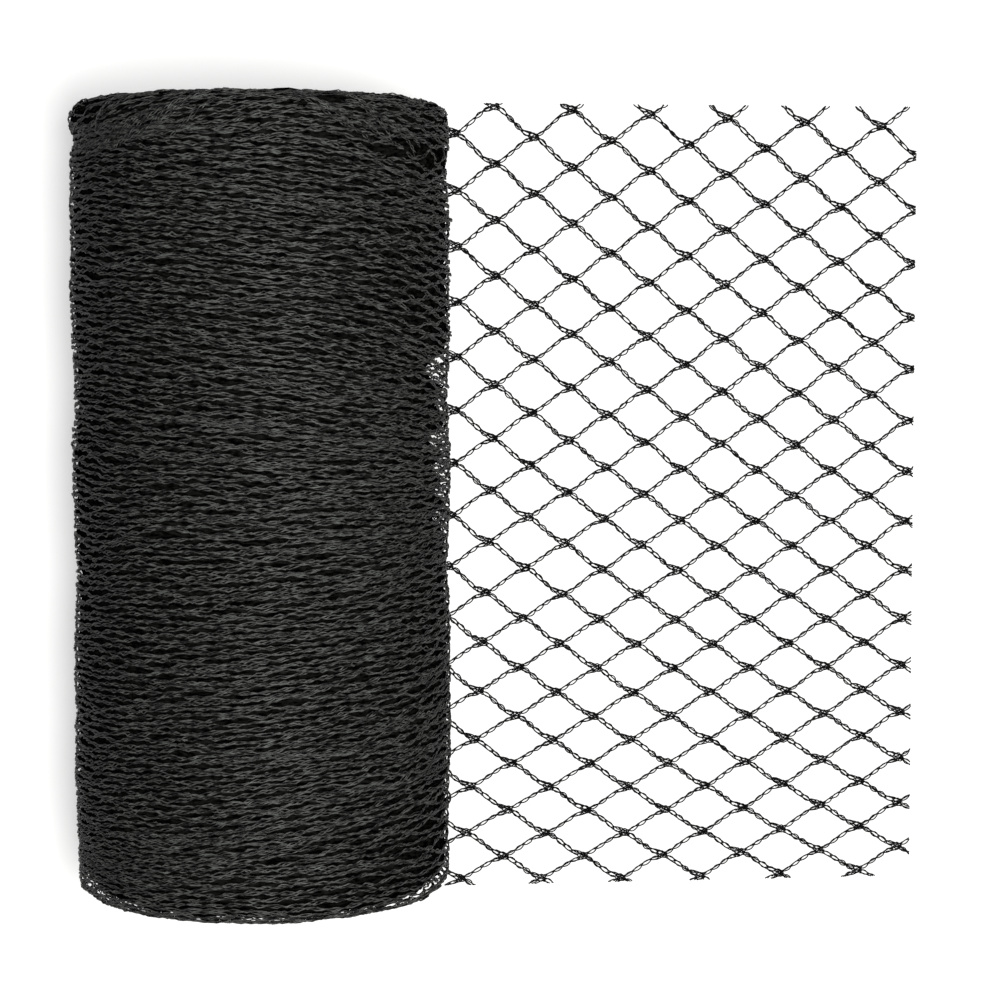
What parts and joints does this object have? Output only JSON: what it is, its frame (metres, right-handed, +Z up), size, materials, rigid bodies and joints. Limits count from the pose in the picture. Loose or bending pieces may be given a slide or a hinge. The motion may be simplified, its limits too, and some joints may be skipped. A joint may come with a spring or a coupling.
{
  "type": "bird netting roll",
  "caption": "Wound roll of black knitted diamond-mesh bird netting lying on its side, its loose end unrolled from under it and lying flat.",
  "frame": {"origin": "under the middle of the whole part's box, on the surface that it rests on", "axes": "+Z up; +X from the roll towards the loose end's free edge; +Y along the roll's axis towards its head"},
  "size_m": [0.3794, 0.3554, 0.1572],
  "materials": {
    "net_wound": "matt black knitted polyethylene yarn, wound",
    "net_mesh": "satin black knitted polyethylene yarn, open mesh"
  },
  "bodies": {
    "root": {"net_roll": "net_wound", "net_end": "net_mesh"}
  },
  "joints": []
}
